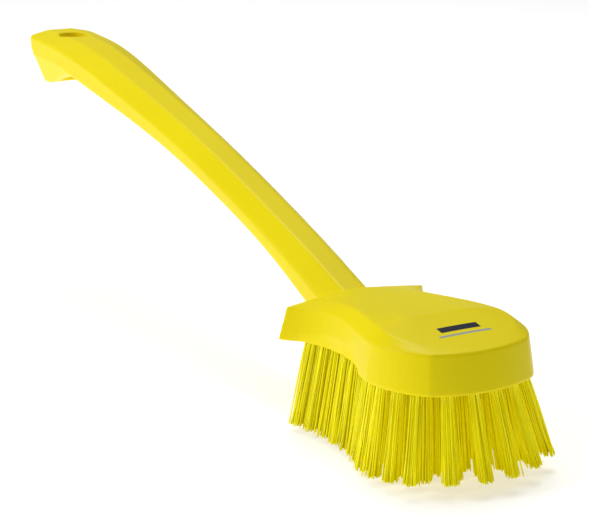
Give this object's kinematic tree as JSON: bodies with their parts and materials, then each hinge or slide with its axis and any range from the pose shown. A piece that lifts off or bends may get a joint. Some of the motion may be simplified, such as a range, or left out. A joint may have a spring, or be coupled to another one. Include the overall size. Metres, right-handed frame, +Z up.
{
  "type": "long-handled washing brush",
  "caption": "Long-handled washing brush: one-piece moulded head and rising handle with hanging hole and hooked end, set with rows of stiff bristle tufts.",
  "frame": {"origin": "centre of the object's footprint, on the plane of the bristle tips", "axes": "+X towards the nose of the head, +Z up, mirror plane at Y = 0"},
  "size_m": [0.4246, 0.08, 0.1325],
  "materials": {
    "body": "satin moulded polypropylene",
    "bristle": "stiff polyester filament",
    "anchor": "flat stainless wire"
  },
  "bodies": {
    "root": {"brush_body": "body", "tuft_row_01": "bristle", "tuft_row_02": "bristle", "tuft_row_03": "bristle", "tuft_row_04": "bristle", "tuft_row_05": "bristle", "tuft_row_06": "bristle", "tuft_row_07": "bristle", "tuft_row_08": "bristle", "tuft_row_09": "bristle", "tuft_row_10": "bristle", "tuft_row_11": "bristle", "anchor_row_01": "anchor", "anchor_row_02": "anchor", "anchor_row_03": "anchor", "anchor_row_04": "anchor", "anchor_row_05": "anchor", "anchor_row_06": "anchor", "anchor_row_07": "anchor", "anchor_row_08": "anchor", "anchor_row_09": "anchor", "anchor_row_10": "anchor", "anchor_row_11": "anchor"}
  },
  "joints": []
}
